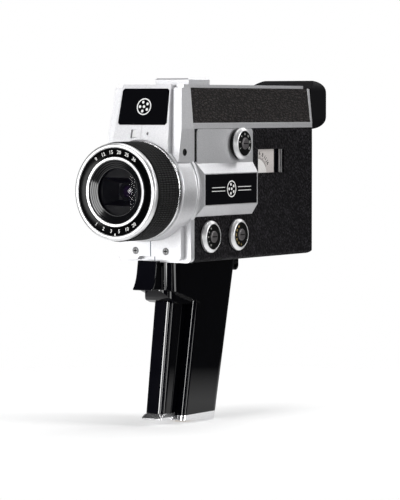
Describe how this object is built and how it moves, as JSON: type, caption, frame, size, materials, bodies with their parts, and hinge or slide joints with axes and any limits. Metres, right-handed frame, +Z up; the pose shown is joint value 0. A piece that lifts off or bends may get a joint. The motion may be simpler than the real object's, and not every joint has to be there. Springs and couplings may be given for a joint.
{
  "type": "pistol-grip cine camera",
  "caption": "Hand-held cine camera on a raked pistol grip, with a large ribbed lens, side control knobs, gauge window, eyecup and trigger.",
  "frame": {"origin": "mouth of the tripod socket in the foot of the grip, on the plane of the lens axis", "axes": "+Z up along the tripod socket, -Y the way the lens looks, +X the operator's left, where the knobs are"},
  "size_m": [0.0654, 0.2092, 0.213],
  "materials": {
    "bright_metal": "fine-blasted, silver",
    "polished_metal": "polished rims",
    "pebbled_leather": "coarse black grain",
    "grained_leather": "fine brown-black grain",
    "black_gloss": "polished black",
    "black_satin": "satin black",
    "zoom_rubber": "ribbed",
    "cup_rubber": "matte soft rubber",
    "lens_glass": "coated",
    "clear_window": "clear",
    "white_scale": "printed scale",
    "grey_cap": "satin grey",
    "circuit_board": "solder resist",
    "blue_housing": "moulded",
    "battery_wrap": "shrink sleeve",
    "brass_bush": "turned",
    "spring_steel": "drawn wire",
    "display_panel": "dark panel",
    "fastener_steel": "plated"
  },
  "bodies": {
    "camera": {"front_casing_left": "bright_metal", "front_casing_right": "bright_metal", "side_cover_left": "pebbled_leather", "side_cover_right": "pebbled_leather", "top_cover": "bright_metal", "top_plate": "bright_metal", "leather_inlays": "grained_leather", "control_pod": "bright_metal", "pod_nameplate": "black_gloss", "front_nameplate": "black_gloss", "lens_collar": "bright_metal", "lens_barrel": "black_satin", "front_bezel": "polished_metal", "name_ring": "black_gloss", "trim_ring": "polished_metal", "lens_cone": "black_satin", "front_glass": "lens_glass", "light_baffle": "black_satin", "taking_lens_barrel": "black_satin", "taking_lens_glass": "lens_glass", "sensor_board": "circuit_board", "main_board": "circuit_board", "port_sockets": "fastener_steel", "rotary_switches": "blue_housing", "gauge_window": "clear_window", "gauge_housing": "black_satin", "gauge_face": "white_scale", "eyepiece_tube": "black_satin", "eyecup": "cup_rubber", "eyepiece_lens": "lens_glass", "finder_display": "display_panel", "grip_left": "black_gloss", "grip_right": "black_gloss", "grip_column": "black_gloss", "front_foot": "polished_metal", "rear_foot": "polished_metal", "trigger_housing": "black_gloss", "trigger_spring": "spring_steel", "trigger_switch": "blue_housing", "battery": "battery_wrap", "tripod_bush": "brass_bush", "strap_lug": "black_satin", "casing_screws": "fastener_steel"},
    "zoom_ring": {"zoom_grip": "zoom_rubber", "zoom_sleeve": "polished_metal"},
    "upper_selector": {"upper_knob": "polished_metal", "upper_dial": "black_gloss", "upper_knob_cap": "grey_cap"},
    "front_selector": {"front_knob": "polished_metal", "front_dial": "black_gloss", "front_knob_cap": "grey_cap"},
    "rear_selector": {"rear_knob": "polished_metal", "rear_dial": "black_gloss", "rear_knob_cap": "grey_cap"},
    "trigger": {"trigger": "black_gloss"},
    "rocker": {"zoom_rocker": "bright_metal"},
    "slider": {"power_slider": "polished_metal"},
    "flap": {"port_flap": "cup_rubber"},
    "needle": {"gauge_needle": "black_satin"}
  },
  "joints": [
    {"name": "zoom_turn", "type": "hinge", "parent": "camera", "child": "zoom_ring", "pos_m": [0, -0.058, 0.1434], "axis": [0, -1, 0], "range_deg": [-40, 40]},
    {"name": "upper_selector_turn", "type": "hinge", "parent": "camera", "child": "upper_selector", "pos_m": [0.031, 0.0212, 0.1716], "axis": [1, 0, 0], "range_deg": [-135, 135]},
    {"name": "front_selector_turn", "type": "hinge", "parent": "camera", "child": "front_selector", "pos_m": [0.029, -0.0108, 0.1149], "axis": [1, 0, 0], "range_deg": [-135, 135]},
    {"name": "rear_selector_turn", "type": "hinge", "parent": "camera", "child": "rear_selector", "pos_m": [0.029, 0.021, 0.115], "axis": [1, 0, 0], "range_deg": [-135, 135]},
    {"name": "trigger_press", "type": "slide", "parent": "camera", "child": "trigger", "axis": [0, 1, 0], "range_m": [0, 0.003], "stiffness_N_per_m": 900, "springref_m": -0.001, "deforming": ["trigger_spring"]},
    {"name": "rocker_tilt", "type": "hinge", "parent": "camera", "child": "rocker", "pos_m": [0, 0.0002, 0.2024], "axis": [1, 0, 0], "range_deg": [-2, 2], "stiffness_Nm_per_rad": 1.5},
    {"name": "power_slide", "type": "slide", "parent": "camera", "child": "slider", "axis": [1, 0, 0], "range_m": [0, 0.0054]},
    {"name": "flap_open", "type": "hinge", "parent": "camera", "child": "flap", "pos_m": [-0.02605, 0.062, 0.12675], "axis": [0, -1, 0], "range_deg": [0, 90]},
    {"name": "needle_swing", "type": "hinge", "parent": "camera", "child": "needle", "pos_m": [0.0229, 0.0508, 0.1496], "axis": [-1, 0, 0], "range_deg": [0, 64], "stiffness_Nm_per_rad": 0.00002, "springref_deg": -11.46}
  ]
}
